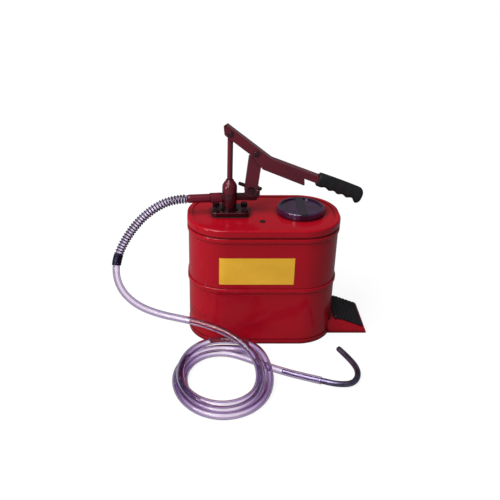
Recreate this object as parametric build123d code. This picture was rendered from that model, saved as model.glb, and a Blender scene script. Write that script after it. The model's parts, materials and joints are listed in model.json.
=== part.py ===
from build123d import *
import math
import os

# Hand-lever oil pump on an obround sheet-steel tank.
# Millimetres, +Z up, +X towards the foot pedal, -Y towards the label.
# Origin: centre of the tank's flat base.

os.makedirs("parts", exist_ok=True)

# ---------------------------------------------------------------- tank
tank_length = 330.0
tank_width = 192.0
tank_corner = 84.0
tank_height = 285.0
sheet = 1.0
base_sheet = 1.4
base_skirt = 12.0
base_overhang = 1.6
bead_height = 11.0
bead_rise = 2.8
middle_bead = 138.5
upper_bead = 260.0
seam_gap = 0.05

lid_sheet = 1.3
lid_skirt = 15.0
lid_overhang = 2.8
lid_border = 9.0
lid_recess = 1.5
gasket_sheet = 1.5

label_left = -98.0
label_right = 63.5
label_low = 155.5
label_high = 219.5
label_sheet = 0.5

# ---------------------------------------------------------------- filler and vent
filler_x = 83.0
filler_y = 4.0
neck_radius = 44.0
neck_wall = 1.5
neck_rise = 12.0
neck_drop = 9.0
neck_flange = 48.5
cap_radius = 51.4
cap_height = 13.0
cap_wall = 2.4
cap_top = 5.0
cap_bar = 17.0
cap_dish = 3.0
cap_fit = 0.3
vent_x = -5.0
vent_y = -48.0
vent_radius = 6.0

# ---------------------------------------------------------------- pump head
pump_x = -75.0
flange_shift = 2.0
flange_length = 80.0
flange_width = 56.0
flange_height = 9.0
flange_bolt_x = 31.0
flange_bolt_y = 19.0
flange_bolt = 8.0
column_radius = 16.0
column_top = 46.0
chamber_radius = 10.0
neck_thread = 10.0
neck_length = 12.0
packing_radius = 8.0
gland_height = 31.0
gland_radius = 16.2
outlet_height = 35.0
outlet_yaw = 6.0
outlet_boss = 10.5
outlet_bore = 4.5
arm_thickness = 8.0
arm_low = 29.0
arm_high = 44.0

# ---------------------------------------------------------------- pump inside the tank
barrel_radius = 22.0
barrel_bore = 19.0
barrel_low = 140.0
spigot_length = 15.0
valve_height = 32.0
foot_ball = 8.0
foot_seat = 6.5
foot_lift = 4.0
suction_radius = 8.0
suction_low = 22.0
strainer_radius = 16.0
strainer_height = 16.0

piston_height = 26.0
piston_gap = 0.15
piston_ball_radius = 6.0
piston_seat = 4.5
piston_lift = 3.0
rest_piston_top = 18.0
running_fit = 0.05
thread_fit = 0.05
bolt_fit = 0.2

# ---------------------------------------------------------------- lever linkage (X and Z)
rod_radius = 6.0
rod_rise = 180.3
lever_pin_run = 55.0
lever_pin_drop = 42.6
lever_end_angle = -30.0
link_run = 45.8
link_rise = 53.0
rod_pin_radius = 3.5
lever_pin_radius = 4.0
base_pin_radius = 4.0
eye_radius = 7.4
lever_width = 22.0
lever_sheet = 2.5
link_width = 28.0
link_thickness = 16.0
link_sheet = 3.4
side_play = 0.5
web_above_pins = 10.5
short_arm_below = 9.5
knee_run = 35.0
long_arm_angle = -21.0
long_arm_run = 88.0
long_arm_depth = 29.5
elbow_run = -11.0
elbow_depth = 27.3
handle_depth = 15.0
handle_reach = 196.0

# ---------------------------------------------------------------- grip
grip_start = 110.5
grip_length = 106.0
grip_width = 27.0
grip_height = 31.0
grip_rise = 7.0
grip_flare = 4.5
grip_pitch = 21.0
grip_scallops = 4
grip_wall = 0.1

# ---------------------------------------------------------------- foot pedal
pedal_half = 54.0
pedal_reach = 80.5
pedal_high = 36.0
pedal_flat = 20.0
pedal_nose = 14.0
pedal_sheet = 2.0
pad_thickness = 3.0
pad_margin = 4.0
pad_groove = 1.4
floor_gap = 0.6

# ---------------------------------------------------------------- hose and nozzle
hose_radius = 8.0
hose_bore = 5.5
adapter_hex = 21.0
adapter_start = 18.0
adapter_hex_end = 43.0
ferrule_end = 92.0
ferrule_radius = 9.4
spring_radius = 10.2
spring_runs = 7
coil_high = 32.0
nozzle_radius = 6.3
nozzle_bore = 5.0

# Heights that everything above the lid is set from.
panel = tank_height - lid_recess
flange_low = panel + gasket_sheet
flange_top = flange_low + flange_height
column_high = flange_low + column_top
gland_top = column_high + gland_height
outlet_z = flange_low + outlet_height

# Pivots of the linkage, as (X, Z).
rod_pin = (pump_x, flange_low + rod_rise)
lever_pin = (pump_x + lever_pin_run, rod_pin[1] - lever_pin_drop)
base_pin = (pump_x + link_run, flange_low + link_rise)
arm_length = math.hypot(lever_pin_run, lever_pin_drop)
link_length = math.hypot(lever_pin[0] - base_pin[0], lever_pin[1] - base_pin[1])
rest_angle = math.degrees(math.atan2(lever_pin_drop, lever_pin_run))
rest_lean = math.degrees(math.asin((lever_pin[0] - base_pin[0]) / link_length))


def linkage_end():
    """Stroke and link lean at which the lever reaches its end angle."""
    turn = math.radians(lever_end_angle)
    end_x = pump_x + arm_length * math.cos(turn)
    lean = math.asin((end_x - base_pin[0]) / link_length)
    end_z = base_pin[1] + link_length * math.cos(lean) + arm_length * math.sin(turn)
    return rod_pin[1] - end_z, math.degrees(lean)


stroke, end_lean = linkage_end()


def base_pin_drift():
    """How far the link's foot wanders, along X and Z, while its turn stays in proportion to the stroke."""
    drift_x, drift_z = [0.0], [0.0]
    for step in range(41):
        share = step / 40
        turn = math.radians(rest_angle + (lever_end_angle - rest_angle) * share)
        lean = math.radians(rest_lean + (end_lean - rest_lean) * share)
        head_x = pump_x + arm_length * math.cos(turn)
        head_z = rod_pin[1] - stroke * share - arm_length * math.sin(turn)
        drift_x.append(head_x - link_length * math.sin(lean) - base_pin[0])
        drift_z.append(head_z - link_length * math.cos(lean) - base_pin[1])
    return min(drift_x), max(drift_x), min(drift_z), max(drift_z)


# ---------------------------------------------------------------- small helpers
def rod(radius, low, high, x=0.0, y=0.0):
    """Upright cylinder between two heights."""
    return Pos(x, y, low) * extrude(Circle(radius), amount=high - low)


def ring(outer, inner, low, high, x=0.0, y=0.0):
    """Upright tube between two heights."""
    return Pos(x, y, low) * extrude(Circle(outer) - Circle(inner), amount=high - low)


def hexagon(flats, low, high, x=0.0, y=0.0):
    """Upright hexagonal prism, measured across its flats."""
    return Pos(x, y, low) * extrude(RegularPolygon(flats / 2, 6, major_radius=False), amount=high - low)


def block(x0, x1, y0, y1, z0, z1):
    """Box given by its two corners."""
    centre = Pos((x0 + x1) / 2, (y0 + y1) / 2, (z0 + z1) / 2)
    return centre * Box(x1 - x0, y1 - y0, z1 - z0)


def across(radius, y0, y1, x, z):
    """Cylinder along Y through (x, z)."""
    return Pos(x, y1, z) * Rot(90, 0, 0) * extrude(Circle(radius), amount=y1 - y0)


def side_plate(points, y0, y1, round_corners=()):
    """Plate cut from a closed outline in the XZ plane, between two Y values."""
    face = make_face(Polyline(*[(x, z) for x, z in points], close=True))
    for index, radius in round_corners:
        corner = points[index]
        nearest = face.vertices().sort_by_distance(Vector(corner[0], corner[1], 0))[0]
        face = fillet(nearest, radius)
    return Pos(0, y1, 0) * Rot(90, 0, 0) * extrude(face, amount=y1 - y0)


def turned(points):
    """Solid turned about the Z axis from (radius, height) points."""
    face = make_face(Polyline(*[(r, 0, z) for r, z in points], close=True))
    return revolve(face, Axis.Z, 360)


def from_pin(pin, angle, run, rise):
    """Point at a distance along a direction from a pin, and square to it."""
    turn = math.radians(angle)
    x = pin[0] + run * math.cos(turn) - rise * math.sin(turn)
    z = pin[1] + run * math.sin(turn) + rise * math.cos(turn)
    return (x, z)


def tank_outline(offset):
    """The tank's plan, grown by an offset."""
    return RectangleRounded(tank_length + 2 * offset, tank_width + 2 * offset, tank_corner + offset)


def tank_prism(offset, low, high):
    """Upright prism on the tank's plan."""
    return Pos(0, 0, low) * extrude(tank_outline(offset), amount=high - low)


def round_rims(solid, radius, top=True, bottom=True):
    """Round the highest and lowest rims of a prism."""
    groups = solid.edges().group_by(Axis.Z)
    if top:
        solid = fillet(groups[-1], radius)
        groups = solid.edges().group_by(Axis.Z)
    if bottom:
        solid = fillet(groups[0], radius)
    return solid


# ---------------------------------------------------------------- tank pieces
shell_low = base_sheet
shell_high = panel - lid_sheet - gasket_sheet
cap_low = panel + 2.0
cap_high = panel + lid_recess + cap_height
neck_high = cap_high - cap_top - gasket_sheet


def tank_form(offset):
    form = tank_prism(offset, shell_low, shell_high)
    for height in (middle_bead, upper_bead):
        bead = tank_prism(offset + bead_rise, height - bead_height / 2, height + bead_height / 2)
        form += round_rims(bead, bead_rise * 0.95)
    return form


def tank_shell():
    return tank_form(0) - tank_form(-sheet) - tank_prism(-sheet, shell_low - 1, shell_low + 20)


def tank_bottom():
    pan = round_rims(tank_prism(base_overhang, 0, base_skirt), 1.8, top=False)
    return pan - tank_prism(seam_gap, base_sheet, base_skirt + 1)


def bolt_places():
    centre = pump_x + flange_shift
    return [(centre + sx * flange_bolt_x, sy * flange_bolt_y) for sx in (-1, 1) for sy in (-1, 1)]


def lid():
    cover = round_rims(tank_prism(lid_overhang, tank_height - lid_skirt, tank_height), 4.0, bottom=False)
    cover -= tank_prism(lid_overhang - lid_sheet, tank_height - lid_skirt - 1, panel - lid_sheet)
    cover -= tank_prism(-lid_border, panel, tank_height + 1)
    cover -= rod(neck_radius + seam_gap, panel - 10, tank_height + 1, filler_x, filler_y)
    cover -= rod(barrel_radius + bolt_fit, panel - 10, tank_height + 1, pump_x)
    cover -= rod(vent_radius * 0.6 + seam_gap, panel - 10, tank_height + 1, vent_x, vent_y)
    for x, y in bolt_places():
        cover -= rod(flange_bolt / 2 + bolt_fit, panel - 10, tank_height + 1, x, y)
    return cover


def lid_gasket():
    seal = tank_prism(0, shell_high, panel - lid_sheet)
    return seal - tank_prism(-7.0, shell_high - 1, panel)


def label_plate():
    wrap = tank_prism(seam_gap + label_sheet, label_low, label_high)
    wrap -= tank_prism(seam_gap, label_low - 1, label_high + 1)
    return wrap & block(label_left, label_right, -tank_width, 0, label_low, label_high)


def filler_neck():
    bore = neck_radius - neck_wall
    collar = ring(neck_radius, bore, panel - neck_drop, neck_high, filler_x, filler_y)
    return collar + ring(neck_flange, bore, panel, panel + neck_wall, filler_x, filler_y)


def filler_cap():
    inside = cap_high - cap_top
    cap = round_rims(rod(cap_radius, cap_low, cap_high, filler_x, filler_y), 3.0, bottom=False)
    cap -= rod(cap_radius - cap_wall, cap_low - 1, inside, filler_x, filler_y)
    thread = neck_radius + cap_fit
    cap += ring(thread + cap_wall, thread, cap_low + 3, inside, filler_x, filler_y)
    dish = rod(cap_radius - 2 * cap_wall - 2, cap_high - cap_dish, cap_high + 1, filler_x, filler_y)
    half = cap_bar / 2
    bar = block(filler_x - half, filler_x + half, filler_y - cap_radius, filler_y + cap_radius, 0, cap_high + 2)
    return cap - (dish - bar)


def cap_gasket():
    return ring(neck_radius, neck_radius - 3.5, neck_high, cap_high - cap_top, filler_x, filler_y)


def vent_plug():
    head = round_rims(rod(vent_radius, panel, panel + 1.6, vent_x, vent_y), 0.7, bottom=False)
    stem = rod(vent_radius * 0.6, panel - lid_sheet - 3, panel, vent_x, vent_y)
    return head + stem - rod(0.8, panel - 10, panel + 5, vent_x, vent_y)


# ---------------------------------------------------------------- foot pedal pieces
def pedal_line():
    """Points of the pedal's top, from the tank outwards, as (X, Z)."""
    start = tank_length / 2 - 30
    knee = tank_length / 2 + pedal_flat
    nose = tank_length / 2 + pedal_reach
    return [(start, pedal_high), (knee, pedal_high), (nose - 4, pedal_nose), (nose, floor_gap + 3)]


def below(points, drop, floor):
    """Close a top line down to a level floor, after lowering it."""
    lowered = [(x - drop * 0.6, z - drop) for x, z in points[1:]]
    return [(points[0][0], points[0][1] - drop)] + lowered + [(lowered[-1][0], floor), (points[0][0], floor)]


def clear_of_tank(solid):
    solid -= tank_prism(base_overhang + seam_gap, -1, base_skirt)
    return solid - tank_prism(seam_gap, base_skirt - 1, shell_high)


def foot_pedal():
    outer = side_plate(below(pedal_line(), 0, floor_gap), -pedal_half, pedal_half, ((1, 8), (2, 5)))
    inner_line = below(pedal_line(), pedal_sheet, floor_gap - 5)
    inner = side_plate(inner_line, pedal_sheet - pedal_half, pedal_half - pedal_sheet)
    return clear_of_tank(outer - inner)


def pad_band():
    """The strip of pedal top that the pad covers, as a box of X values."""
    return tank_length / 2 + 6.0, tank_length / 2 + pedal_reach - 8.0


def pad_plate():
    line = pedal_line()
    raised = [(x + pad_thickness * 0.3, z + pad_thickness) for x, z in line]
    plate = side_plate(raised + line[::-1], pad_margin - pedal_half, pedal_half - pad_margin)
    left, right = pad_band()
    plate &= block(left, right, -pedal_half, pedal_half, floor_gap, pedal_high + 10)
    return plate - side_plate(below(line, 0, floor_gap), -pedal_half, pedal_half, ((1, 8), (2, 5)))


def pedal_height(x):
    """Height of the pedal's bare top at X."""
    line = pedal_line()
    for (x0, z0), (x1, z1) in zip(line, line[1:]):
        if x0 <= x <= x1:
            return z0 + (z1 - z0) * (x - x0) / (x1 - x0)
    return floor_gap


def pedal_pad():
    pad = pad_plate()
    left, right = pad_band()
    grooves = 8
    for index in range(1, grooves):
        x = left + (right - left) * index / grooves
        z = pedal_height(x) + pad_thickness
        pad -= Pos(x, 0, z) * Box(2.2, 2 * pedal_half, 2 * pad_groove)
    for x, y in rivet_places():
        pad -= rod(3.4, 0, pedal_high + 20, x, y)
    return pad


def rivet_places():
    left, right = pad_band()
    step = (right - left) / 8
    return [(x, sy * (pedal_half - 14)) for x in (left + 0.5 * step, right - 2.5 * step) for sy in (-1, 1)]


def pedal_rivets():
    rivets = []
    for x, y in rivet_places():
        z = pedal_height(x)
        head = rod(3.2, z + 1.5, z + 4.4, x, y) & Pos(x, y, z + 0.6) * Sphere(3.9)
        cut = side_plate(below(pedal_line(), -0.05, floor_gap), -pedal_half, pedal_half)
        rivets.append((rod(3.2, z - 1.5, z + 1.6, x, y) + head) - cut)
    return Compound(rivets)


# ---------------------------------------------------------------- pump head pieces
def outlet_frame():
    return Pos(pump_x, 0, outlet_z) * Rot(0, 0, outlet_yaw) * Rot(0, -90, 0)


def outlet_tube(outer, start, end):
    """Cylinder on the outlet's axis, from one distance off the pump's axis to another."""
    return outlet_frame() * Pos(0, 0, start) * extrude(Circle(outer), amount=end - start)


def lug_slot():
    """Slot that leaves the link's foot room to wander."""
    low_x, high_x, low_z, high_z = base_pin_drift()
    room = base_pin_radius + 0.3
    x0 = base_pin[0] + low_x
    x1 = base_pin[0] + high_x
    z0 = base_pin[1] + low_z - room
    z1 = base_pin[1] + high_z + room
    slot = block(x0 - 0.2, x1 + 0.2, -20, 20, z0, z1)
    middle = (z0 + z1) / 2
    for x in (x0 - 0.2, x1 + 0.2):
        slot += across((z1 - z0) / 2, -20, 20, x, middle)
    return slot


def pump_arm():
    high_x = base_pin[0] + base_pin_drift()[1] + base_pin_radius + 4.2
    left = base_pin[0] - 11.5
    low = flange_low + arm_low
    high = flange_low + arm_high
    top = base_pin[1] + base_pin_radius + 5.5
    outline = [(pump_x, low), (high_x - 8, low), (high_x, high - 3), (high_x, top), (left, top),
               (left, high), (pump_x, high)]
    return side_plate(outline, -arm_thickness / 2, arm_thickness / 2, ((1, 5), (3, 8), (4, 8), (5, 5)))


def pump_head():
    plate = Pos(pump_x + flange_shift, 0, flange_low) * extrude(
        RectangleRounded(flange_length, flange_width, 9), amount=flange_height)
    head = round_rims(plate, 1.5, bottom=False)
    head += rod(column_radius + 4, flange_top, flange_top + 3, pump_x)
    head += rod(column_radius, flange_low, column_high, pump_x)
    head += rod(neck_thread, column_high, column_high + neck_length, pump_x)
    head += rod(barrel_bore - thread_fit, flange_low - spigot_length, flange_low, pump_x)
    head += outlet_tube(outlet_boss, 0, adapter_start)
    head += pump_arm()
    head -= rod(chamber_radius, flange_low - spigot_length - 1, outlet_z + 4, pump_x)
    head -= rod(rod_radius + 0.3, outlet_z, column_high + neck_length + 1, pump_x)
    head -= rod(packing_radius, column_high - 4, column_high + neck_length + 1, pump_x)
    head -= outlet_tube(outlet_bore, 0, adapter_start + 1)
    head -= lug_slot()
    for x, y in bolt_places():
        head -= rod(flange_bolt / 2 + bolt_fit, flange_low - 1, flange_top + 1, x, y)
    return head


def pump_gasket():
    seal = Pos(pump_x + flange_shift, 0, panel) * extrude(
        RectangleRounded(flange_length + 2, flange_width + 2, 10), amount=gasket_sheet)
    seal -= rod(barrel_radius + bolt_fit, panel - 1, flange_low + 1, pump_x)
    for x, y in bolt_places():
        seal -= rod(flange_bolt / 2 + bolt_fit, panel - 1, flange_low + 1, x, y)
    return seal


def flange_bolts():
    bolts = []
    for x, y in bolt_places():
        head = hexagon(13, flange_top, flange_top + 5.3, x, y)
        head &= rod(7.2, flange_top, flange_top + 5.3, x, y)
        bolts.append(head + rod(flange_bolt / 2 - 0.1, panel - lid_sheet - 9, flange_top, x, y))
    return Compound(bolts)


def flange_nuts():
    high = panel - lid_sheet
    nuts = []
    for x, y in bolt_places():
        nuts.append(hexagon(13, high - 6.5, high, x, y) - rod(flange_bolt / 2, high - 7, high + 1, x, y))
    return Compound(nuts)


def gland_nut():
    low = column_high
    inner = neck_thread + thread_fit
    shoulder = low + neck_length + 0.5
    body = turned([(0, low), (gland_radius - 0.8, low), (gland_radius, low + 1), (gland_radius, low + 15),
                   (gland_radius - 0.8, low + 18), (gland_radius - 1.9, low + 20.5),
                   (gland_radius - 3.3, low + 23), (gland_radius - 5.2, low + 25.5),
                   (gland_radius - 7.2, low + 28.5), (gland_radius - 8.4, gland_top), (0, gland_top)])
    body -= rod(inner, low - 1, shoulder)
    body -= rod(rod_radius + 0.3, low - 1, gland_top + 1)
    return Pos(pump_x, 0, 0) * body


def gland_packing():
    low = column_high - 4
    return ring(packing_radius - 0.1, rod_radius + running_fit, low, low + neck_length + 3.5, pump_x)


# ---------------------------------------------------------------- pump inside the tank
def pump_barrel():
    return ring(barrel_radius, barrel_bore, barrel_low, flange_low, pump_x)


def foot_ball_height():
    """Height of the seated foot-valve ball's centre."""
    seat = barrel_low - valve_height + 14
    return seat + math.sqrt(foot_ball ** 2 - foot_seat ** 2)


def foot_valve_body():
    low = barrel_low - valve_height
    seat = low + 14
    body = rod(barrel_radius, low, barrel_low)
    body += rod(barrel_bore - thread_fit, barrel_low, barrel_low + 5)
    body -= rod(foot_ball + 3.5, seat + 3, barrel_low + 6)
    body -= turned([(0, seat - 0.02), (foot_seat, seat - 0.02), (foot_seat + 3, seat + 3.1), (0, seat + 3.1)])
    body -= rod(foot_seat, low - 1, seat)
    body -= rod(suction_radius + thread_fit, low - 1, low + 10)
    ball = Pos(0, 0, foot_ball_height()) * Sphere(foot_ball + 0.03)
    return Pos(pump_x, 0, 0) * (body - ball)


def foot_valve_ball():
    return Pos(pump_x, 0, foot_ball_height()) * Sphere(foot_ball)


def foot_valve_cage():
    low = foot_ball_height() + foot_ball + foot_lift + 0.1
    cage = ring(foot_ball + 3.45, foot_ball + 1.2, low, low + 2.2)
    cage += block(-foot_ball - 2, foot_ball + 2, -1.6, 1.6, low, low + 2.2)
    return Pos(pump_x, 0, 0) * cage


def suction_tube():
    high = barrel_low - valve_height + 10
    return ring(suction_radius, suction_radius - 1.5, suction_low, high, pump_x)


def suction_strainer():
    low = suction_low - 8
    basket = ring(strainer_radius, strainer_radius - 1.2, low, low + strainer_height)
    basket += rod(strainer_radius, low + strainer_height, low + strainer_height + 1.5)
    basket += rod(strainer_radius, low - 1.2, low)
    basket -= rod(suction_radius + thread_fit, low + 6, low + strainer_height + 2)
    for index in range(12):
        turn = Rot(0, 0, 30 * index)
        for height in (low + 4, low + 9):
            hole = Pos(strainer_radius, 0, height) * Rot(0, 90, 0) * Cylinder(1.6, 8)
            basket -= turn * hole
    return Pos(pump_x, 0, 0) * basket


piston_high = flange_low - spigot_length - rest_piston_top
piston_low = piston_high - piston_height


def piston_ball_height():
    return piston_low + 6 + math.sqrt(piston_ball_radius ** 2 - piston_seat ** 2)


def piston():
    body = rod(barrel_bore - piston_gap, piston_low, piston_high)
    body -= rod(12.0, piston_low + 9, piston_high + 1)
    body -= turned([(0, piston_low + 6), (piston_seat, piston_low + 6), (12.0, piston_low + 9.1),
                    (0, piston_low + 9.1)])
    body -= rod(piston_seat, piston_low - 1, piston_low + 7)
    body -= ring(barrel_bore + 1, barrel_bore - 3.5, piston_low + 10, piston_low + 16)
    ball = Pos(0, 0, piston_ball_height()) * Sphere(piston_ball_radius + 0.03)
    return Pos(pump_x, 0, 0) * (body - ball)


def piston_seal():
    return ring(barrel_bore - running_fit, barrel_bore - 3.4, piston_low + 10.1, piston_low + 15.9, pump_x)


def piston_ball():
    return Pos(pump_x, 0, piston_ball_height()) * Sphere(piston_ball_radius)


def piston_cover():
    low = piston_ball_height() + piston_ball_radius + piston_lift + 0.1
    cover = rod(12.0 - thread_fit, low, piston_high)
    cover -= rod(rod_radius - 0.95, low - 1, piston_high + 1)
    for index in range(4):
        cover -= Rot(0, 0, 45 + 90 * index) * Pos(8.3, 0, 0) * rod(2.3, low - 1, piston_high + 1)
    return Pos(pump_x, 0, 0) * cover


def piston_nut():
    return hexagon(13, piston_high, piston_high + 6, pump_x) - rod(
        rod_radius - 0.95, piston_high - 1, piston_high + 7, pump_x)


def plunger_rod():
    low = piston_ball_height() + piston_ball_radius + piston_lift + 0.1
    shank = rod(rod_radius, piston_high + 6, rod_pin[1] - 6, pump_x)
    shank += rod(rod_radius - 1, low, piston_high + 6, pump_x)
    eye = across(eye_radius, -5, 5, *rod_pin)
    neck = block(pump_x - rod_radius, pump_x + rod_radius, -5, 5, rod_pin[1] - 12, rod_pin[1])
    shank += eye + (neck & rod(rod_radius * 1.4, rod_pin[1] - 12, rod_pin[1], pump_x))
    return shank - across(rod_pin_radius + running_fit, -10, 10, *rod_pin)


# ---------------------------------------------------------------- outlet pieces
def outlet_adapter():
    prism = Pos(0, 0, adapter_start) * extrude(
        RegularPolygon(adapter_hex / 2, 6, major_radius=False), amount=adapter_hex_end - adapter_start)
    body = prism & Pos(0, 0, adapter_start) * extrude(Circle(adapter_hex * 0.555), amount=60)
    body += Pos(0, 0, adapter_hex_end) * extrude(Circle(hose_bore - 0.1), amount=32)
    body -= Pos(0, 0, adapter_start - 1) * extrude(Circle(outlet_bore - 1), amount=80)
    return outlet_frame() * body


def outlet_ferrule():
    start, end, bore = adapter_hex_end, ferrule_end, hose_bore
    body = turned([(bore, start), (ferrule_radius - 0.6, start), (ferrule_radius, start + 0.8),
                   (ferrule_radius, end - 5), (hose_radius + 0.5, end), (bore, end)])
    return outlet_frame() * body


def outlet_point(distance):
    """Point on the outlet's axis, a distance from the pump's axis."""
    turn = math.radians(outlet_yaw)
    return (pump_x - distance * math.cos(turn), -distance * math.sin(turn), outlet_z)


# ---------------------------------------------------------------- linkage pieces
def lever_outline():
    """Side view of the pressed lever, tip first, along its top and back along its lower edge."""
    slope = -rest_angle
    knee = from_pin(lever_pin, slope, knee_run, web_above_pins)
    return [from_pin(rod_pin, slope, -15, web_above_pins),
            knee,
            from_pin(knee, long_arm_angle, handle_reach, 0),
            from_pin(knee, long_arm_angle, handle_reach, -handle_depth),
            from_pin(knee, long_arm_angle, long_arm_run - 7, -handle_depth),
            from_pin(knee, long_arm_angle, long_arm_run, -long_arm_depth),
            from_pin(knee, long_arm_angle, elbow_run, -elbow_depth),
            from_pin(lever_pin, slope, -4, -short_arm_below),
            from_pin(rod_pin, slope, -2, -short_arm_below),
            from_pin(rod_pin, slope, -9, -9),
            from_pin(rod_pin, slope, -18, 0)]


def lever():
    half = lever_width / 2
    outline = lever_outline()
    body = side_plate(outline, -half, half, ((1, 20), (5, 2), (6, 8), (7, 6)))
    slope = -rest_angle
    knee = from_pin(lever_pin, slope, knee_run, web_above_pins)
    under = lever_sheet
    trough = [from_pin(rod_pin, slope, -60, web_above_pins - under),
              from_pin(knee, (slope + long_arm_angle) / 2, 0, -under),
              from_pin(knee, long_arm_angle, handle_reach + 10, -under),
              from_pin(knee, long_arm_angle, handle_reach + 10, -90),
              from_pin(rod_pin, slope, -60, -90)]
    body -= side_plate(trough, lever_sheet - half, half - lever_sheet, ((1, 18),))
    body -= across(rod_pin_radius + 0.02, -half - 1, half + 1, *rod_pin)
    return body - across(lever_pin_radius + 0.02, -half - 1, half + 1, *lever_pin)


def link_corner(side, distance):
    """Point on the link's edge, a distance up from its foot; side is -1 or 1."""
    return from_pin(base_pin, 90 - rest_lean, distance, side * link_width / 2)


def swing_link():
    half = link_thickness / 2
    lean = 90 - rest_lean
    shoulder = link_length - 5
    outline = [link_corner(1, 0), link_corner(1, shoulder - 6), from_pin(base_pin, lean, shoulder, eye_radius),
               from_pin(base_pin, lean, shoulder, -eye_radius), link_corner(-1, shoulder - 6), link_corner(-1, 0)]
    body = side_plate(outline, -half, half)
    body += across(link_width / 2, -half, half, *base_pin)
    body += across(eye_radius, -half, half, *lever_pin)
    room = from_pin(base_pin, lean, 24, 0)
    gap = arm_thickness / 2 + side_play
    trough = [from_pin(base_pin, lean, 24, link_width), from_pin(base_pin, lean, -30, link_width),
              from_pin(base_pin, lean, -30, -link_width), from_pin(base_pin, lean, 24, -link_width)]
    body -= side_plate(trough, -gap, gap)
    web = link_sheet - link_width / 2
    hollow = [from_pin(base_pin, lean, 20, link_width), from_pin(base_pin, lean, shoulder - 10, link_width),
              from_pin(base_pin, lean, shoulder - 10, web), from_pin(base_pin, lean, 20, web)]
    body -= side_plate(hollow, link_sheet - half, half - link_sheet, ((2, 4),))
    body -= across(lever_pin_radius + running_fit, -half - 1, half + 1, *lever_pin)
    return body - across(base_pin_radius + 0.02, -half - 1, half + 1, *base_pin)


def headed_pin(radius, pin, half):
    """Pin along Y with a domed head in front and a clip groove behind."""
    body = across(radius, -half, half + 4, *pin)
    head = across(radius + 2, -half - 2.6, -half, *pin)
    head = fillet(head.edges().group_by(Axis.Y)[0], 1.2)
    body += head
    groove = across(radius + 1, half + 1.0, half + 2.2, *pin) - across(radius - 0.8, half, half + 3, *pin)
    return body - groove


def rod_pin_piece():
    return headed_pin(rod_pin_radius, rod_pin, lever_width / 2)


def lever_pin_piece():
    return headed_pin(lever_pin_radius, lever_pin, lever_width / 2)


def pin_clips():
    clips = []
    for radius, pin in ((rod_pin_radius, rod_pin), (lever_pin_radius, lever_pin)):
        start = lever_width / 2 + 1.05
        clip = across(radius + 2.2, start, start + 1.1, *pin)
        clip -= across(radius - 0.75, start - 1, start + 3, *pin)
        clips.append(clip - block(pin[0] - 1.5, pin[0] + 1.5, 0, 30, pin[1] - 12, pin[1]))
    return Compound(clips)


wing_low = link_thickness / 2 + 1.7


def base_bolt():
    half = link_thickness / 2
    body = across(base_pin_radius, -half, wing_low + 12, *base_pin)
    prism = extrude(RegularPolygon(6.5, 6, major_radius=False), amount=5)
    return body + Pos(base_pin[0], -half, base_pin[1]) * Rot(90, 0, 0) * prism


def base_washer():
    half = link_thickness / 2
    disc = across(9, half, half + 1.6, *base_pin)
    return disc - across(base_pin_radius + bolt_fit, half - 1, half + 3, *base_pin)


def wing_nut():
    """Nut with two wings, tilted, behind the link's foot."""
    low = wing_low
    hub = turned([(0, 0), (8, 0), (6, 9), (0, 9)])
    wings = hub
    for side in (-1, 1):
        blade = side_plate([(side * 4, 0.5), (side * 8, 0.5), (side * 25, 6), (side * 27, 11), (side * 23, 14),
                            (side * 5, 8)], -2.8, 2.8)
        wings += blade
    wings -= rod(base_pin_radius + running_fit, -1, 20)
    turn = Rot(-90, 0, 0) * Rot(0, 0, 15)
    return Pos(base_pin[0], low, base_pin[1]) * turn * wings


def grip_outline():
    """Side view of the grip: level on top, finger scallops below, a flared end."""
    knee = from_pin(lever_pin, -rest_angle, knee_run, web_above_pins)
    start = from_pin(knee, long_arm_angle, grip_start, grip_rise)
    high = [from_pin(start, long_arm_angle, run, rise) for run, rise in
            ((0, -2), (3, 0), (grip_length - 14, 0.5), (grip_length - 3, -4), (grip_length, -12))]
    low = [from_pin(start, long_arm_angle, run, rise) for run, rise in
           ((grip_length - 1, -grip_height), (grip_length - 7, -grip_height - grip_flare + 1))]
    return start, high, low


def grip():
    start, high, low = grip_outline()
    points = high + low
    edge = grip_length - 11
    for index in range(grip_scallops):
        crest = edge - grip_pitch * index
        for back, rise in ((3.5, 1.2), (7.0, 2.9), (10.5, 3.5), (14.0, 2.9), (17.5, 1.2), (21.0, 0.0)):
            points.append(from_pin(start, long_arm_angle, crest - back, rise - grip_height + 0.4 * index))
    points.append(from_pin(start, long_arm_angle, 0, 4 - grip_height))
    body = side_plate(points, -grip_width / 2, grip_width / 2)
    centre = from_pin(start, long_arm_angle, 0, 1.0 - grip_height / 2)
    round_bar = Pos(centre[0], 0, centre[1]) * Rot(0, 90 - long_arm_angle, 0) * extrude(
        RectangleRounded(grip_height + 8, grip_width, 12.5), amount=2 * (grip_length + 10), both=True)
    body &= round_bar
    knee = from_pin(lever_pin, -rest_angle, knee_run, web_above_pins)
    pocket = [from_pin(knee, long_arm_angle, grip_start - 10, grip_wall),
              from_pin(knee, long_arm_angle, handle_reach + grip_wall, grip_wall),
              from_pin(knee, long_arm_angle, handle_reach + grip_wall, -handle_depth - grip_wall),
              from_pin(knee, long_arm_angle, grip_start - 10, -handle_depth - grip_wall)]
    half = lever_width / 2 + grip_wall
    return body - side_plate(pocket, -half, half)


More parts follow.
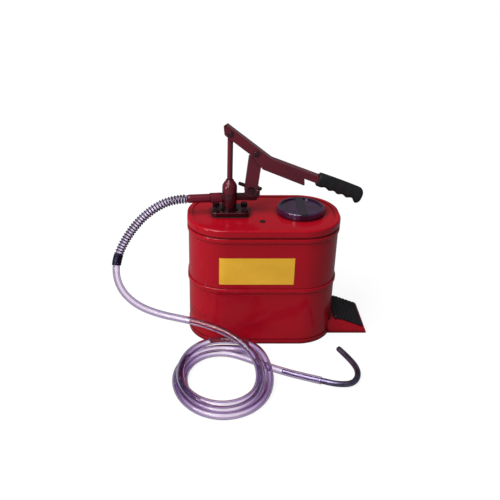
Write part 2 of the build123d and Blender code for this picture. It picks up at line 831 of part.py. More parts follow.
# ---------------------------------------------------------------- hose pieces
hose_route = [(-206, -14, 316), (-240, -19, 300), (-272, -27, 276), (-300, -37, 241),
              (-321, -50, 202), (-326, -66, 163), (-311, -84, 129), (-276, -101, 104), (-229, -114, 91),
              (-180, -126, 87), (-131, -139, 83), (-86, -157, 76), (-48, -183, 63), (-22, -215, 49),
              (-9, -252, 33)]
tail_route = [(4, -190, 8.1), (36, -207, 8.1), (72, -223, 8.1), (114, -239, 8.1)]
nozzle_route = [(114, -239, 8.1), (146, -251.2, 8.1), (180, -248, 7.2), (198, -213, 6.5), (192, -171, 6.5),
                (169, -124, 6.5)]
coil_centre = (-93.0, -231.5)
coil_outer = (104.0, 123.0)
coil_inner = (71.5, 85.5)


def bend_radii(points):
    """Largest even bend at each corner: 0.45 of the shorter run over the tangent of half the turn."""
    vectors = [Vector(*b) - Vector(*a) for a, b in zip(points, points[1:])]
    radii = []
    for before, after in zip(vectors, vectors[1:]):
        half_turn = math.radians(before.get_angle(after)) / 2
        radii.append(0.45 * min(before.length, after.length) / math.tan(half_turn))
    return radii


def tube_path(points):
    return FilletPolyline(*points, radius=bend_radii(points))


def tube(path, outer, inner=0.0):
    """Round bar or pipe swept along a path."""
    section = Plane(origin=path @ 0, z_dir=path % 0)
    face = Circle(outer) - Circle(inner) if inner else Circle(outer)
    return sweep(section * face, path=path)


def report_tube(name, solid, path, outer, inner=0.0):
    area = math.pi * (outer ** 2 - inner ** 2)
    print(name, "length", round(path.length, 1), "volume ratio", round(solid.volume / area / path.length, 4))


def drop_points():
    return [outlet_point(ferrule_end), outlet_point(ferrule_end + 13.5)] + hose_route


def hose_drop():
    points = drop_points()
    print("hose_drop radii", [round(r) for r in bend_radii(points)])
    path = tube_path(points)
    solid = tube(path, hose_radius)
    report_tube("hose_drop", solid, path, hose_radius)
    return solid


def spring_guard():
    points = drop_points()[: spring_runs + 1]
    ends = Vector(*points[-1]) + (Vector(*points[-2]) - Vector(*points[-1])) * 0.5
    points[-1] = (ends.X, ends.Y, ends.Z)
    full = drop_points()[: spring_runs + 1]
    radii = bend_radii(full)
    path = FilletPolyline(*points, radius=radii)
    return tube(path, spring_radius, hose_radius + 0.1)


def hose_coil():
    x, y = coil_centre
    outer = Pos(x, y, 0) * extrude(Ellipse(*coil_outer), amount=coil_high)
    inner = Pos(x, y - 4, -1) * extrude(Ellipse(*coil_inner), amount=coil_high + 2)
    body = outer - inner
    return fillet(body.edges().filter_by(GeomType.ELLIPSE), 7.0)


def hose_tail():
    print("hose_tail radii", [round(r) for r in bend_radii(tail_route)])
    path = tube_path(tail_route)
    solid = tube(path, hose_radius)
    report_tube("hose_tail", solid, path, hose_radius)
    return solid


def nozzle():
    print("nozzle radii", [round(r) for r in bend_radii(nozzle_route)])
    path = tube_path(nozzle_route)
    solid = tube(path, nozzle_radius, nozzle_bore)
    report_tube("nozzle", solid, path, nozzle_radius, nozzle_bore)
    return solid


pieces = {
    "tank_shell": tank_shell, "tank_bottom": tank_bottom, "lid": lid, "lid_gasket": lid_gasket,
    "label_plate": label_plate, "filler_neck": filler_neck, "filler_cap": filler_cap,
    "cap_gasket": cap_gasket, "vent_plug": vent_plug, "foot_pedal": foot_pedal, "pedal_pad": pedal_pad,
    "pedal_rivets": pedal_rivets, "pump_head": pump_head, "pump_gasket": pump_gasket,
    "flange_bolts": flange_bolts, "flange_nuts": flange_nuts, "gland_nut": gland_nut,
    "gland_packing": gland_packing, "pump_barrel": pump_barrel, "foot_valve_body": foot_valve_body,
    "foot_valve_ball": foot_valve_ball, "foot_valve_cage": foot_valve_cage, "suction_tube": suction_tube,
    "suction_strainer": suction_strainer, "piston": piston, "piston_seal": piston_seal,
    "piston_ball": piston_ball, "piston_cover": piston_cover, "piston_nut": piston_nut,
    "plunger_rod": plunger_rod, "outlet_adapter": outlet_adapter, "outlet_ferrule": outlet_ferrule,
    "lever": lever, "grip": grip, "swing_link": swing_link, "rod_pin": rod_pin_piece,
    "lever_pin": lever_pin_piece, "pin_clips": pin_clips, "base_bolt": base_bolt,
    "base_washer": base_washer, "wing_nut": wing_nut, "spring_guard": spring_guard,
    "hose_drop": hose_drop, "hose_coil": hose_coil, "hose_tail": hose_tail, "nozzle": nozzle,
}

for name, make in pieces.items():
    export_step(make(), f"parts/{name}.step")
    print("made", name)

print("stroke", round(stroke, 3), "lever turn", round(rest_angle - lever_end_angle, 3),
      "link turn", round(end_lean - rest_lean, 3))
print("rod pin", rod_pin, "lever pin", lever_pin, "base pin", base_pin, "drift", base_pin_drift())
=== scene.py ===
import json
import math

import bpy
import numpy as np
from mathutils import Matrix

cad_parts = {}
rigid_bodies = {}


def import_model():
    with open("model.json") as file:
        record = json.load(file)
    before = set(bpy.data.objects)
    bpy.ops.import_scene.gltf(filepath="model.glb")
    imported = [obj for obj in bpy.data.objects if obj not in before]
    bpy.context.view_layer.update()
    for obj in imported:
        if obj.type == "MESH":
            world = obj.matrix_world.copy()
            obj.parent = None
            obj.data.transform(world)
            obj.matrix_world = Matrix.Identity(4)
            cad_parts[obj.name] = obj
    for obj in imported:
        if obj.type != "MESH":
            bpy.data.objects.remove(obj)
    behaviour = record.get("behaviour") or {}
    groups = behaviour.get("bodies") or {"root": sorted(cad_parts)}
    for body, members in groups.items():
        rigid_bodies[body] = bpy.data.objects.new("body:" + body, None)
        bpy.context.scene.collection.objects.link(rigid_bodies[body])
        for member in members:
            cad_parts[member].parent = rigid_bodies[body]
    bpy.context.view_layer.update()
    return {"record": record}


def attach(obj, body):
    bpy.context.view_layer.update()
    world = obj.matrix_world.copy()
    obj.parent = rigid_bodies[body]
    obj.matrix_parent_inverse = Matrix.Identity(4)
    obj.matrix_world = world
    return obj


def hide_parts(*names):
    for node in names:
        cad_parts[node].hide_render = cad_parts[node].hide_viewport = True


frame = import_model()
mm = 0.001
joints = {joint["name"]: joint for joint in frame["record"]["behaviour"]["joints"]}
rodPin = np.array(joints["lever_hinge"]["pos_m"])
leverPin = np.array(joints["link_swing"]["pos_m"])
print("frame loaded")

camera = {"place": (-0.1184, -1.3418, 0.8867), "pitch": 62.63, "lens": 47.9, "shift": (0.0807, -0.0016)}


def makeCamera():
    data = bpy.data.cameras.new("viewCamera")
    data.lens = camera["lens"]
    data.shift_x, data.shift_y = camera["shift"]
    data.clip_start = 0.05
    obj = bpy.data.objects.new("viewCamera", data)
    obj.location = camera["place"]
    obj.rotation_euler = (math.radians(camera["pitch"]), 0, 0)
    bpy.context.scene.collection.objects.link(obj)
    bpy.context.scene.camera = obj


makeCamera()


class Nodes:
    def __init__(self, name):
        self.material = bpy.data.materials.new(name)
        self.material.use_nodes = True
        self.tree = self.material.node_tree
        self.tree.nodes.clear()
        self.out = self.add("ShaderNodeOutputMaterial")

    def add(self, kind, values=None, **settings):
        node = self.tree.nodes.new(kind)
        for key, value in settings.items():
            setattr(node, key, value)
        for key, value in (values or {}).items():
            if isinstance(value, bpy.types.NodeSocket):
                self.tree.links.new(value, node.inputs[key])
            else:
                node.inputs[key].default_value = value
        return node

    def noise(self, scale, detail=3.0, roughness=0.55, stretch=(1, 1, 1)):
        place = self.add("ShaderNodeTexCoord").outputs["Object"]
        if stretch != (1, 1, 1):
            place = self.add("ShaderNodeMapping", {"Vector": place, "Scale": stretch}).outputs["Vector"]
        values = {"Vector": place, "Scale": scale, "Detail": detail, "Roughness": roughness}
        return self.add("ShaderNodeTexNoise", values).outputs["Fac"]

    def ramp(self, source, stops):
        node = self.add("ShaderNodeValToRGB", {"Fac": source})
        edges = node.color_ramp.elements
        while len(edges) < len(stops):
            edges.new(0.5)
        for edge, (place, colour) in zip(edges, stops):
            edge.position = place
            edge.color = (*colour, 1)
        return node.outputs["Color"]

    def span(self, source, low, high, newLow, newHigh):
        values = {"Value": source, "From Min": low, "From Max": high, "To Min": newLow, "To Max": newHigh}
        return self.add("ShaderNodeMapRange", values).outputs["Result"]

    def mix(self, share, first, second):
        node = self.add("ShaderNodeMix", data_type="RGBA")
        for key, value in ((0, share), (6, first), (7, second)):
            if isinstance(value, bpy.types.NodeSocket):
                self.tree.links.new(value, node.inputs[key])
            elif key == 0:
                node.inputs[key].default_value = value
            else:
                node.inputs[key].default_value = (*value, 1)
        return node.outputs[2]

    def bump(self, height, strength, distance):
        values = {"Height": height, "Strength": strength, "Distance": distance}
        return self.add("ShaderNodeBump", values).outputs["Normal"]

    def surface(self, values):
        shader = self.add("ShaderNodeBsdfPrincipled", values)
        self.tree.links.new(shader.outputs["BSDF"], self.out.inputs["Surface"])
        return self.material


# Sprayed enamel: slow colour drift, fine orange peel and handling haze in the gloss; dust settles on
# faces that look up, and painted shade darkens the seams, beads and creases that ambient occlusion finds.
def enamel(name, base, shade, rough=(0.24, 0.36), peel=0.05, gloss=0.18, coat=0.10):
    n = Nodes(name)
    drift = n.ramp(n.noise(5, 3, 0.5), ((0.3, shade), (0.7, base)))
    dust = n.span(n.noise(170, 2, 0.7), 0.62, 0.8, 0, 0.3)
    upward = n.add("ShaderNodeSeparateXYZ", {"Vector": n.add("ShaderNodeNewGeometry").outputs["Normal"]})
    settled = n.add("ShaderNodeMath", {0: dust, 1: n.span(upward.outputs["Z"], 0.2, 1, 0.3, 1)},
                    operation="MULTIPLY").outputs[0]
    dusty = n.mix(settled, drift, tuple(0.7 * c + 0.01 for c in base))
    # Painted shade: the colour goes nearly black in seams, beads and creases, by ambient occlusion.
    occlusionForPaintedShade = n.add("ShaderNodeAmbientOcclusion", {"Distance": 14 * mm}).outputs["AO"]
    colour = n.mix(n.span(occlusionForPaintedShade, 0.5, 0.96, 0.95, 0), dusty, tuple(0.16 * c for c in shade))
    haze = n.span(n.noise(22, 5, 0.6), 0.3, 0.7, *rough)
    normal = n.bump(n.noise(420, 2), peel, 0.4 * mm)
    return n.surface({"Base Color": colour, "Roughness": haze, "Normal": normal, "Specular IOR Level": gloss,
                      "Coat Weight": coat, "Coat Roughness": 0.06, "IOR": 1.5})


# Moulded rubber: fine pebble and a dusty bloom.
def rubber(name, base, rough=0.55):
    n = Nodes(name)
    bloom = n.ramp(n.noise(38, 5, 0.65), ((0.35, base), (0.75, tuple(c * 1.7 for c in base))))
    pebble = n.add("ShaderNodeTexVoronoi", {"Vector": n.add("ShaderNodeTexCoord").outputs["Object"],
                                            "Scale": 950.0}).outputs["Distance"]
    haze = n.span(n.noise(60, 3), 0.3, 0.7, rough - 0.1, rough + 0.12)
    return n.surface({"Base Color": bloom, "Roughness": haze, "Normal": n.bump(pebble, 0.25, 0.3 * mm),
                      "Specular IOR Level": 0.35})


# Plated or turned steel: drawn streaks and cloudy tarnish.
def steel(name, base, rough=0.35, turned=(1, 1, 1), tarnish=0.5):
    n = Nodes(name)
    cloud = n.ramp(n.noise(70, 5, 0.6), ((0.3, tuple(c * tarnish for c in base)), (0.62, base)))
    streak = n.noise(260, 3, 0.6, turned)
    haze = n.span(streak, 0.25, 0.75, rough - 0.1, rough + 0.14)
    return n.surface({"Base Color": cloud, "Metallic": 1.0, "Roughness": haze,
                      "Normal": n.bump(streak, 0.12, 0.2 * mm)})


# Plain yellow film with a faint cloud in its colour.
def filmLabel():
    n = Nodes("yellowLabelFilm")
    tone = n.ramp(n.noise(26, 4), ((0.3, (0.80, 0.42, 0.018)), (0.7, (0.90, 0.49, 0.028))))
    haze = n.span(n.noise(55, 3), 0.3, 0.7, 0.3, 0.42)
    return n.surface({"Base Color": tone, "Roughness": haze, "Coat Weight": 0.2,
                      "Normal": n.bump(n.noise(240, 2), 0.05, 0.2 * mm)})


cap = {"middle": 0.083, "bar": 0.0085}  # where the grip bar crosses, and half its width


# Moulded cap: cloudy violet-black plastic, darker along the grip bar that crosses it.
def capPlastic():
    n = Nodes("violetBlackCapPlastic")
    tone = n.ramp(n.noise(30, 4), ((0.3, (0.016, 0.004, 0.018)), (0.72, (0.065, 0.016, 0.070))))
    place = n.add("ShaderNodeSeparateXYZ", {"Vector": n.add("ShaderNodeTexCoord").outputs["Object"]})
    offBar = n.add("ShaderNodeMath", {0: place.outputs["X"], 1: cap["middle"]}, operation="SUBTRACT")
    away = n.add("ShaderNodeMath", {0: offBar.outputs[0]}, operation="ABSOLUTE").outputs[0]
    onBar = n.span(away, cap["bar"] - 0.4 * mm, cap["bar"] + 0.8 * mm, 0.85, 0)
    colour = n.mix(onBar, tone, (0.010, 0.003, 0.010))
    haze = n.span(n.noise(48, 4), 0.3, 0.7, 0.12, 0.24)
    return n.surface({"Base Color": colour, "Roughness": haze, "Coat Weight": 0.6, "Coat Roughness": 0.06,
                      "Normal": n.bump(n.noise(120, 3), 0.05, 0.4 * mm)})


# Clear tinted hose: nearly white where it faces, violet-grey where its wall is seen edge on through more
# tinted plastic, and nearly black at the very rim, a painted shade standing for dark surroundings refracted
# in the wall.
def clearHose():
    n = Nodes("clearVioletHose")
    edge = n.add("ShaderNodeLayerWeight", {"Blend": 0.4}).outputs["Facing"]
    cloud = n.span(n.noise(30, 3, 0.5), 0.35, 0.7, 0.0, 0.14)
    # Partly the tint of the plastic and partly painted shade: the colour darkens to near black towards the
    # tube's rim as the wall turns edge on.
    body = n.ramp(edge, ((0.03, (0.92, 0.87, 0.94)), (0.22, (0.64, 0.52, 0.71)), (0.48, (0.20, 0.12, 0.29)),
                         (0.85, (0.045, 0.024, 0.08))))
    colour = n.mix(cloud, body, (0.55, 0.45, 0.62))
    return n.surface({"Base Color": colour, "Roughness": n.span(n.noise(90, 3), 0.3, 0.7, 0.05, 0.14),
                      "Transmission Weight": 1.0, "IOR": 1.12, "Coat Weight": 0.3,
                      "Normal": n.bump(n.noise(60, 2, 0.5), 0.03, 0.5 * mm)})


# Greased yarn: a diagonal plait in colour and height.
def packingYarn():
    n = Nodes("greasedPackingYarn")
    place = n.add("ShaderNodeTexCoord").outputs["Object"]
    plait = n.add("ShaderNodeTexWave", {"Vector": place, "Scale": 160.0, "Distortion": 2.0},
                  bands_direction="DIAGONAL").outputs["Fac"]
    tone = n.ramp(plait, ((0.2, (0.03, 0.028, 0.024)), (0.8, (0.11, 0.1, 0.085))))
    return n.surface({"Base Color": tone, "Roughness": 0.7, "Normal": n.bump(plait, 0.4, 0.4 * mm)})


finishes = {
    "tank_paint": enamel("tankRedEnamel", (0.41, 0.003, 0.013), (0.36, 0.0025, 0.010), gloss=0.07, coat=0.36),
    "pump_paint": enamel("pumpMaroonEnamel", (0.15, 0.009, 0.022), (0.055, 0.004, 0.010), (0.2, 0.32), 0.035,
                         0.2, 0.45),
    "label": filmLabel(),
    "cap_plastic": capPlastic(),
    "black_rubber": rubber("blackPedalRubber", (0.0055, 0.0050, 0.0060)),
    "gasket": rubber("gasketRubber", (0.012, 0.011, 0.011), 0.7),
    "zinc_steel": steel("dullZincPlate", (0.42, 0.42, 0.45), 0.36),
    "machined_steel": steel("turnedSteel", (0.5, 0.49, 0.5), 0.3, (1, 1, 6)),
    "ball_steel": steel("polishedBallSteel", (0.75, 0.75, 0.76), 0.12, tarnish=0.8),
    "seal_rubber": rubber("sealRubber", (0.03, 0.02, 0.016), 0.5),
    "packing": packingYarn(),
    "hose_plastic": clearHose(),
}
nozzleSteel = steel("darkNozzleZinc", (0.22, 0.19, 0.30), 0.3, (6, 6, 1), 0.4)
# Painted shade: a darker copy of the pump's maroon enamel for the pump head, standing for the shade under the
# lever and outlet pipe.
shadedHeadEnamel = enamel("pumpHeadShadedEnamel", (0.060, 0.004, 0.008), (0.022, 0.002, 0.004), (0.2, 0.32), 0.035, 0.3,
                    0.45)
springSteel = steel("guardSpringSteel", (0.055, 0.05, 0.10), 0.3, tarnish=0.5)
boltSteel = steel("darkenedBoltSteel", (0.10, 0.045, 0.055), 0.42, tarnish=0.5)
darkened = ("pedal_rivets", "flange_bolts", "wing_nut", "base_bolt", "base_washer", "rod_pin", "lever_pin",
            "pin_clips")
ownFinish = {"pump_head": shadedHeadEnamel, **{node: boltSteel for node in darkened}}


def paintNodes():
    for entry in frame["record"]["subparts"]:
        node = bpy.data.objects[entry["node"]]
        finish = ownFinish.get(entry["node"], finishes[entry["material_slot"]])
        node.data.materials.clear()
        node.data.materials.append(finish)
        for face in node.data.polygons:
            face.material_index = 0


paintNodes()
print("finishes made")


def addMesh(name, points, faces, finish, smooth=True):
    mesh = bpy.data.meshes.new(name)
    mesh.from_pydata(np.asarray(points, float).tolist(), [], [list(face) for face in faces])
    mesh.validate()
    if smooth:
        mesh.shade_smooth()
    mesh.materials.append(finish)
    obj = bpy.data.objects.new(name, mesh)
    bpy.context.scene.collection.objects.link(obj)
    return obj


# Quads of a grid whose columns close on themselves; rows close too if asked.
def gridFaces(rows, columns, wrapRows=False):
    lastRow = rows if wrapRows else rows - 1
    row, column = np.meshgrid(np.arange(lastRow), np.arange(columns), indexing="ij")
    nextRow, nextColumn = (row + 1) % rows, (column + 1) % columns
    corners = (row * columns + column, row * columns + nextColumn,
               nextRow * columns + nextColumn, nextRow * columns + column)
    return np.stack(corners, -1).reshape(-1, 4)


# Two directions square to a line at each point, turned no more than the line itself turns.
def carriedFrames(line):
    ahead = np.gradient(line, axis=0)
    ahead /= np.linalg.norm(ahead, axis=1)[:, None]
    side = np.zeros_like(ahead)
    side[0] = np.cross(ahead[0], (0, 0, 1.0))
    side[0] /= np.linalg.norm(side[0])
    for i in range(1, len(line)):
        flat = side[i - 1] - ahead[i] * (side[i - 1] @ ahead[i])
        side[i] = flat / np.linalg.norm(flat)
    return side, np.cross(ahead, side)


# Rings of points round a line: centre plus radius times a unit circle in the carried frame.
def ringsAlong(line, radii, count):
    side, up = carriedFrames(line)
    turn = np.linspace(0, 2 * np.pi, count, endpoint=False)
    circle = (np.cos(turn)[None, :, None] * side[:, None, :] + np.sin(turn)[None, :, None] * up[:, None, :])
    return line[:, None, :] + np.asarray(radii)[:, None, None] * circle


# Round pipe with a bore: outer rings out along the line, inner rings back, closed over both ends. Its quads
# are listed back to front, so they face into the wall.
def addPipe(name, line, outerRadii, innerRadii, sides, finish):
    rings = np.concatenate((ringsAlong(line, outerRadii, sides), ringsAlong(line, innerRadii, sides)[::-1]))
    faces = gridFaces(len(rings), sides, wrapRows=True)[:, ::-1].tolist()
    return addMesh(name, rings.reshape(-1, 3), faces, finish)


# Skin of rings: quads along it, and at each end a fan of triangles round the ring's middle point.
def addCapped(name, rings, middles, wall, finish):
    rows, columns = rings.shape[:2]
    first, final = rows * columns, (rows - 1) * columns
    faces = wall.tolist()
    faces += [(first, (i + 1) % columns, i) for i in range(columns)]
    faces += [(first + 1, final + i, final + (i + 1) % columns) for i in range(columns)]
    return addMesh(name, np.concatenate((rings.reshape(-1, 3), middles)), faces, finish)


# A drawn piece takes the place of nodes and moves with their body.
def standFor(piece, body, slot, *nodes):
    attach(piece, body)
    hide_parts(*nodes)
    return piece


hose = {
    "outside": 8.0, "bore": 5.5, "sides": 28,  # radii
    "drop": [(-166.5, -9.62, 320), (-184, -11.5, 320), (-213, -15, 315), (-243, -19, 299), (-272, -27, 276),
             (-300, -37, 241), (-321, -50, 202), (-326, -66, 163), (-311, -84, 129), (-276, -101, 104),
             (-229, -114, 91), (-180, -126, 87), (-131, -139, 83), (-86, -157, 76), (-48, -183, 63),
             (-24, -211, 50), (-14, -252, 36)],
    "tail": [(-104, -142, 9), (-71, -146, 9), (-38, -162, 8.6), (4, -190, 8.1), (36, -207, 8.1),
             (72, -223, 8.1), (114, -239, 8.1)],
    "coilMiddle": (-92.0, -232.0),
    "steps": 16,  # points in a turn
    "start": 36.0, "end": 970.0,  # degrees turned, clockwise from above
    "reachRight": [-9, 7, -9], "reachFront": [-333, -346.5, -329],
    "reachLeft": [-180, -189, -172], "reachBack": [-116, -126, -142],
    # degrees turned and height there: one turn climbs over another where they cross
    "heights": [(0, 38), (15, 30), (40, 25), (90, 24.4), (180, 23), (270, 23.5), (285, 24.5), (300, 29),
                (315, 34), (330, 31), (345, 22), (360, 13), (375, 9), (390, 8.1), (640, 8.1), (660, 16),
                (675, 25), (690, 25), (705, 17), (720, 9.5), (735, 8.1), (900, 8.1), (970, 9)],
}


# Turns seen from above: an ellipse whose reach to each side changes from turn to turn. The points stand
# a little outside it, so that the smoothed hose runs along it.
def coilPoints():
    middleX, middleY = hose["coilMiddle"]
    inward = 0.75 + 0.25 * math.cos(2 * math.pi / hose["steps"])
    points = []
    step = 360 / hose["steps"]
    count = int((hose["end"] - hose["start"]) / step)
    for index in range(count + 1):
        turned = hose["start"] + step * index
        angle = -math.radians(turned)
        lap = int(turned // 360)
        lapRight = min(int((turned + 90) // 360), 2)
        right = hose["reachRight"][lapRight] - middleX
        left = middleX - hose["reachLeft"][lap]
        front = middleY - hose["reachFront"][lap]
        back = hose["reachBack"][lap] - middleY
        across, along = math.cos(angle), math.sin(angle)
        x = middleX + (right if across > 0 else left) * across / inward
        y = middleY + (back if along > 0 else front) * along / inward
        z = float(np.interp(turned, *zip(*hose["heights"])))
        points.append((x, y, z))
    return points


# Points along a smooth spline whose control points are the route's.
def routeLine(name, points):
    curve = bpy.data.curves.new(name, "CURVE")
    curve.dimensions = "3D"
    spline = curve.splines.new("NURBS")
    spline.points.add(len(points) - 1)
    for point, place in zip(spline.points, points):
        point.co = (place[0] * mm, place[1] * mm, place[2] * mm, 1)
    spline.order_u = 3
    spline.use_endpoint_u = True
    spline.resolution_u = 10
    holder = bpy.data.objects.new(name, curve)
    bpy.context.scene.collection.objects.link(holder)
    bpy.context.view_layer.update()
    mesh = bpy.data.meshes.new_from_object(holder)
    line = np.empty(len(mesh.vertices) * 3)
    mesh.vertices.foreach_get("co", line)
    bpy.data.objects.remove(holder)
    bpy.data.meshes.remove(mesh)
    return line.reshape(-1, 3)


# The same line with its points a set distance apart, and its length.
def evenly(line, gap):
    along = np.concatenate(([0], np.cumsum(np.linalg.norm(np.diff(line, axis=0), axis=1))))
    count = max(int(round(along[-1] / gap)), 2)
    even = np.linspace(0, along[-1], count + 1)
    return np.stack([np.interp(even, along, line[:, axis]) for axis in range(3)], 1), along[-1]


# The whole hose in one pipe: down from the outlet, round the ring and out to the nozzle.
def makeHose():
    line, length = evenly(routeLine("hoseRoute", hose["drop"] + coilPoints() + hose["tail"]), 4 * mm)
    outer = np.full(len(line), hose["outside"] * mm)
    inner = np.full(len(line), hose["bore"] * mm)
    tube = addPipe("clearHose", line, outer, inner, hose["sides"], finishes["hose_plastic"])
    return standFor(tube, "tank", "hose_plastic", "hose_drop", "hose_coil", "hose_tail"), line, length


hoseTube, hoseLine, hoseLength = makeHose()
print("hose length", round(hoseLength, 3))

guard = {"start": 2, "reach": 232, "wire": 1.2, "radius": 9.3, "pitch": 6.4, "closedTurns": 10,
         "closedPitch": 2.42, "sides": 8, "steps": 26}


# Wound wire: a round section carried along a helix, which is the hose's line plus a radius times a
# circle in the carried frame. Its last turns lie side by side.
def makeSpringGuard():
    line, _ = evenly(hoseLine, 1 * mm)
    line = line[guard["start"]:guard["reach"]]
    side, up = carriedFrames(line)
    along = np.arange(len(line), dtype=float)
    closedLength = guard["closedTurns"] * guard["closedPitch"]
    openLength = along[-1] - closedLength
    openTurns = openLength / guard["pitch"]
    stops = [0, openLength, along[-1]]
    turns = [0, openTurns, openTurns + guard["closedTurns"]]
    fine = np.linspace(0, turns[-1], int(turns[-1] * guard["steps"]))
    place = np.interp(fine, turns, stops)
    pick = [np.stack([np.interp(place, along, source[:, axis]) for axis in range(3)], 1)
            for source in (line, side, up)]
    angle = 2 * np.pi * fine[:, None]
    wire = pick[0] + guard["radius"] * mm * (np.cos(angle) * pick[1] + np.sin(angle) * pick[2])
    rings = ringsAlong(wire, np.full(len(wire), guard["wire"] * mm), guard["sides"])
    wall = gridFaces(len(wire), guard["sides"])[:, ::-1]  # faces into the wire
    spring = addCapped("guardSpring", rings, wire[[0, -1]], wall, springSteel)
    return standFor(spring, "tank", "zinc_steel", "spring_guard")


guardSpring = makeSpringGuard()
print("spring guard made")

nozzle = {
    "route": [(36, -207, 8.1), (72, -223, 8.1), (114, -239, 8.1), (146, -251.2, 8.1), (180, -248, 7.2),
              (198, -213, 6.5), (192, -171, 6.5), (169, -124, 6.5)],
    "shank": 82.0, "swell": 3.0, "inHose": 5.35, "outside": 6.3, "wall": 1.3, "mouth": 0.5, "sides": 28,
}


# Bent steel pipe: its shank sits inside the hose, it swells just past the hose's end, and its mouth is
# drawn in a little.
def makeNozzle():
    line, length = evenly(routeLine("nozzleRoute", nozzle["route"]), 2 * mm)
    along = np.linspace(0, length / mm, len(line))
    swell = nozzle["swell"]
    stops = [0, nozzle["shank"], nozzle["shank"] + swell, length / mm - swell, length / mm]
    sizes = [nozzle["inHose"], nozzle["inHose"], nozzle["outside"], nozzle["outside"],
             nozzle["outside"] - nozzle["mouth"]]
    radii = np.interp(along, stops, sizes)
    bore = radii - nozzle["wall"]
    pipe = addPipe("bentNozzle", line, radii * mm, bore * mm, nozzle["sides"], nozzleSteel)
    return standFor(pipe, "tank", "zinc_steel", "nozzle")


bentNozzle = makeNozzle()
print("nozzle made and hose laid")

grip = {
    "knee": (35.0, 10.5), "start": (110.5, 7.0), "slope": -21.0,  # run and rise, lever then handle
    "length": 106.0, "height": 31.0, "width": 27.0, "squareness": 2.7,
    "pitch": 21.0, "scallops": 4, "scallopDepth": 3.4, "lastCrest": 95.0, "flare": 4.5,
    "startRound": 3.0, "endRound": 9.0, "startSize": 0.86, "endSize": 0.34, "sides": 40,
}


# A point some run and rise from another, with both measured on a slope.
def turnedBy(origin, degrees, run, rise):
    angle = math.radians(degrees)
    x = origin[0] + (run * math.cos(angle) - rise * math.sin(angle)) * mm
    z = origin[2] + (run * math.sin(angle) + rise * math.cos(angle)) * mm
    return np.array((x, 0.0, z))


# Superellipse sections along the handle: top nearly straight, finger scallops as raised cosines along
# the underside, ends drawn in over a quarter circle.
def makeGrip():
    slope = math.degrees(math.atan2(leverPin[2] - rodPin[2], leverPin[0] - rodPin[0]))
    knee = turnedBy(leverPin, slope, *grip["knee"])
    start = turnedBy(knee, grip["slope"], *grip["start"])
    length, first, last = grip["length"], grip["startRound"], grip["endRound"]
    drawnStart = first * (1 - np.cos(np.linspace(0, np.pi / 2, 7)))
    drawnEnd = length - last + last * np.sin(np.linspace(0, np.pi / 2, 12))
    u = np.concatenate((drawnStart, np.linspace(first, length - last, 96)[1:-1], drawnEnd))
    drawIn = np.clip(np.minimum(u / first, (length - u) / last), 0, 1)
    quarter = np.sqrt(np.clip(1 - (1 - drawIn) ** 2, 0, 1))
    least = np.where(u < first, grip["startSize"], grip["endSize"])
    shrink = least + (1 - least) * quarter
    phase = (grip["lastCrest"] - u) / grip["pitch"]
    inside = (phase > 0) & (phase < grip["scallops"])
    lift = np.where(inside, grip["scallopDepth"] * (0.5 - 0.5 * np.cos(2 * np.pi * phase)) ** 0.8, 0)
    flare = grip["flare"] * np.clip((u - grip["lastCrest"] + 6) / 8, 0, 1)
    top = 0.8 * np.sin(np.pi * u / length) - 3.0 * np.clip((u - length + 16) / 16, 0, 1) ** 2
    bottom = -grip["height"] + lift - flare + 1.6 * np.clip(1 - u / 50, 0, 1)
    middle, half = (top + bottom) / 2, (top - bottom) / 2 * shrink
    halfWidth = grip["width"] / 2 * shrink * (1 - 0.05 * lift / grip["scallopDepth"])
    turn = np.linspace(0, 2 * np.pi, grip["sides"], endpoint=False)
    power = 2 / grip["squareness"]
    across = np.sign(np.cos(turn)) * np.abs(np.cos(turn)) ** power
    upward = np.sign(np.sin(turn)) * np.abs(np.sin(turn)) ** power
    angle = math.radians(grip["slope"])
    ahead = np.array((math.cos(angle), 0, math.sin(angle)))
    square = np.array((-math.sin(angle), 0, math.cos(angle)))
    rise = middle[:, None] + half[:, None] * upward[None, :]
    wide = halfWidth[:, None] * across[None, :]
    rings = start + mm * (u[:, None, None] * ahead + rise[:, :, None] * square
                          + wide[:, :, None] * np.array((0, 1, 0)))
    middles = np.stack((rings[0].mean(0), rings[-1].mean(0)))
    skin = addCapped("handGrip", rings, middles, gridFaces(*rise.shape), finishes["black_rubber"])
    standFor(skin, "lever", "black_rubber", "grip")


makeGrip()
print("grip made")

studio = {
    "sun": {"towards": (-0.45, -0.34, 0.98), "spread": 50, "strength": 2.9},
    "key": ((-0.9, -1.3, 1.2), 0.35, 7),  # place, size and power
    "edge": ((-1.25, -0.8, 0.5), 0.22, 4.5),
    "room": 0.17,
    "floor": {"half": 14.0, "under": -0.0004, "bright": 1.06, "share": 0.82},
}


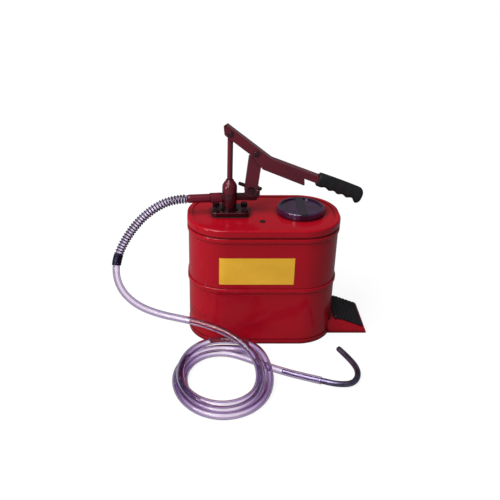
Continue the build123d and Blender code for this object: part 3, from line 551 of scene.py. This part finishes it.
# Pale floor. What the viewer sees, straight or through the hose, is mostly its own white, so that it stays
# pale round the shadow; what it throws back at the object is a plain grey.
def makeFloor():
    floor = studio["floor"]
    half, low = floor["half"], floor["under"]
    points = [(-half, -half, low), (half, -half, low), (half, half, low), (-half, half, low)]
    n = Nodes("paleFloor")
    grain = n.ramp(n.noise(3, 2), ((0.3, (0.86, 0.86, 0.86)), (0.7, (0.88, 0.88, 0.88))))
    bright = n.add("ShaderNodeEmission", {"Color": (1, 1, 1, 1), "Strength": floor["bright"]})
    seen = n.add("ShaderNodeLightPath")
    colour = n.mix(seen.outputs["Is Camera Ray"], (0.28, 0.28, 0.30), grain)
    plain = n.add("ShaderNodeBsdfDiffuse", {"Color": colour})
    rays = {0: seen.outputs["Is Camera Ray"], 1: seen.outputs["Is Transmission Ray"]}
    through = n.add("ShaderNodeMath", rays, operation="MAXIMUM")
    share = n.add("ShaderNodeMath", {0: through.outputs[0], 1: floor["share"]}, operation="MULTIPLY")
    blend = n.add("ShaderNodeMixShader", {0: share.outputs[0], 1: plain.outputs[0], 2: bright.outputs[0]})
    n.tree.links.new(blend.outputs[0], n.out.inputs["Surface"])
    addMesh("paleFloor", points, [(0, 1, 2, 3)], n.material, smooth=False)


# Turns a lamp so that it shines from the given direction.
def turnTowards(obj, away):
    flat = math.hypot(away[0], away[1])
    obj.rotation_euler = (math.atan2(flat, away[2]), 0, math.atan2(away[1], away[0]) + math.pi / 2)


def makeLights():
    sun = bpy.data.lights.new("softSun", "SUN")
    sun.angle = math.radians(studio["sun"]["spread"])
    sun.energy = studio["sun"]["strength"]
    holder = bpy.data.objects.new("softSun", sun)
    turnTowards(holder, studio["sun"]["towards"])
    bpy.context.scene.collection.objects.link(holder)
    for name in ("key", "edge"):
        place, size, power = studio[name]
        light = bpy.data.lights.new(name + "Light", "AREA")
        light.size = size
        light.energy = power
        obj = bpy.data.objects.new(name + "Light", light)
        obj.location = place
        turnTowards(obj, np.array(place) - np.array((0, 0, 0.2)))  # at the middle of the tank
        bpy.context.scene.collection.objects.link(obj)


# Dim cool room light, with white behind everything the viewer sees.
def makeWorld():
    world = bpy.data.worlds.new("paleRoom")
    bpy.context.scene.world = world
    world.use_nodes = True
    tree = world.node_tree
    tree.nodes.clear()
    out = tree.nodes.new("ShaderNodeOutputWorld")
    lit = tree.nodes.new("ShaderNodeBackground")
    seen = tree.nodes.new("ShaderNodeBackground")
    lit.inputs["Color"].default_value = (0.9, 0.92, 1, 1)
    lit.inputs["Strength"].default_value = studio["room"]
    seen.inputs["Color"].default_value = (1, 1, 1, 1)
    path = tree.nodes.new("ShaderNodeLightPath")
    blend = tree.nodes.new("ShaderNodeMixShader")
    either = tree.nodes.new("ShaderNodeMath")
    either.operation = "MAXIMUM"
    tree.links.new(path.outputs["Is Camera Ray"], either.inputs[0])
    tree.links.new(path.outputs["Is Transmission Ray"], either.inputs[1])
    tree.links.new(either.outputs[0], blend.inputs[0])
    tree.links.new(lit.outputs[0], blend.inputs[1])
    tree.links.new(seen.outputs[0], blend.inputs[2])
    tree.links.new(blend.outputs[0], out.inputs["Surface"])


makeFloor()
makeLights()
makeWorld()
bpy.context.scene.view_settings.view_transform = "Standard"
print("studio made")
